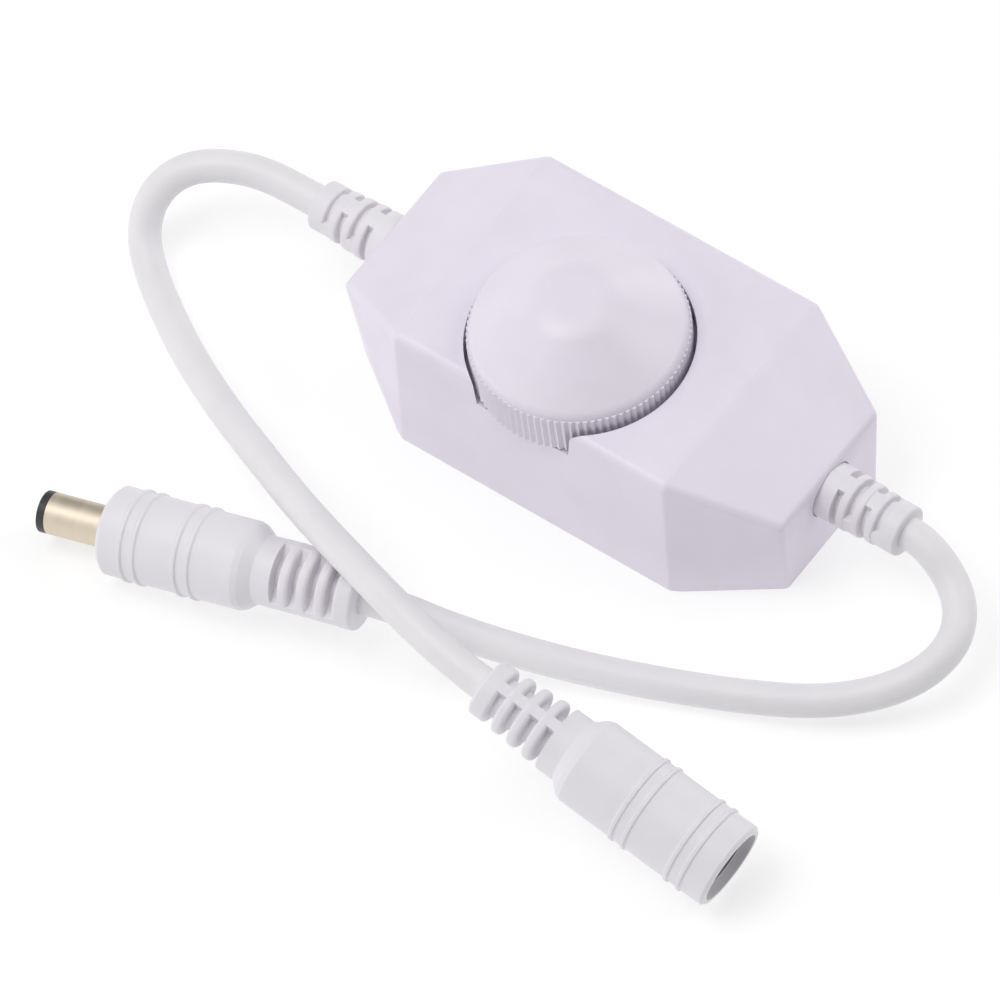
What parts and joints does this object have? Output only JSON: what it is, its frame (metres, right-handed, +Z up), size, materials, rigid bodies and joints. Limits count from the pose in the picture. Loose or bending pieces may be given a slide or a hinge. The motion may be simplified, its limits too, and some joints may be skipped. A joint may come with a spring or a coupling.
{
  "type": "led dimmer switch",
  "caption": "In-line dimmer for LED strips: faceted white housing, knurled cone knob on top, a power socket and an output plug on short moulded cords.",
  "frame": {"origin": "middle of the housing's base, on the floor", "axes": "+X along the housing from the power socket's cord to the output plug's cord, +Y away from the side where the knob's rim stands out, +Z up"},
  "size_m": [0.1312, 0.0761, 0.031],
  "materials": {
    "housing_white": "fine satin moulded white with a faint lilac cast",
    "knob_white": "satin moulded white",
    "mould_white": "soft white moulded vinyl, satin",
    "cord_white": "smooth white vinyl, satin",
    "nickel": "warm bright nickel plate, slightly brushed around",
    "insulator_black": "matt black",
    "screw_steel": "zinc-plated steel",
    "board_green": "green solder mask over glass fibre",
    "contact_brass": "bare brass",
    "chip_black": "matt black moulded package",
    "can_aluminium": "bare drawn aluminium",
    "phenolic_brown": "pressed phenolic paper",
    "ceramic_tan": "fired ceramic",
    "wire_red": "red insulation",
    "wire_black": "black insulation"
  },
  "bodies": {
    "housing": {"top_cover": "housing_white", "bottom_cover": "housing_white", "cover_screws": "screw_steel", "pot_can": "can_aluminium", "pot_wafer": "phenolic_brown", "pot_pins": "contact_brass", "circuit_board": "board_green", "mosfet": "chip_black", "timer_chip": "chip_black", "input_capacitor": "can_aluminium", "flyback_diode": "chip_black", "chip_resistors": "chip_black", "ceramic_capacitors": "ceramic_tan", "input_strain_relief": "mould_white", "output_strain_relief": "mould_white", "input_wire_positive": "wire_red", "input_wire_negative": "wire_black", "output_wire_positive": "wire_red", "output_wire_negative": "wire_black", "plug_overmold": "mould_white", "plug_barrel": "nickel", "plug_tip_insulator": "insulator_black", "plug_inner_contact": "contact_brass", "socket_overmold": "mould_white", "socket_insert": "insulator_black", "socket_pin": "nickel", "socket_spring_leaf": "contact_brass", "output_cord": "cord_white", "input_cord": "cord_white"},
    "knob": {"knob": "knob_white", "pot_shaft": "can_aluminium", "pot_wiper": "contact_brass"}
  },
  "joints": [
    {"name": "knob_turn", "type": "hinge", "parent": "housing", "child": "knob", "pos_m": [-0.001, -0.0041, 0], "axis": [0, 0, 1], "range_deg": [-150, 150]}
  ]
}
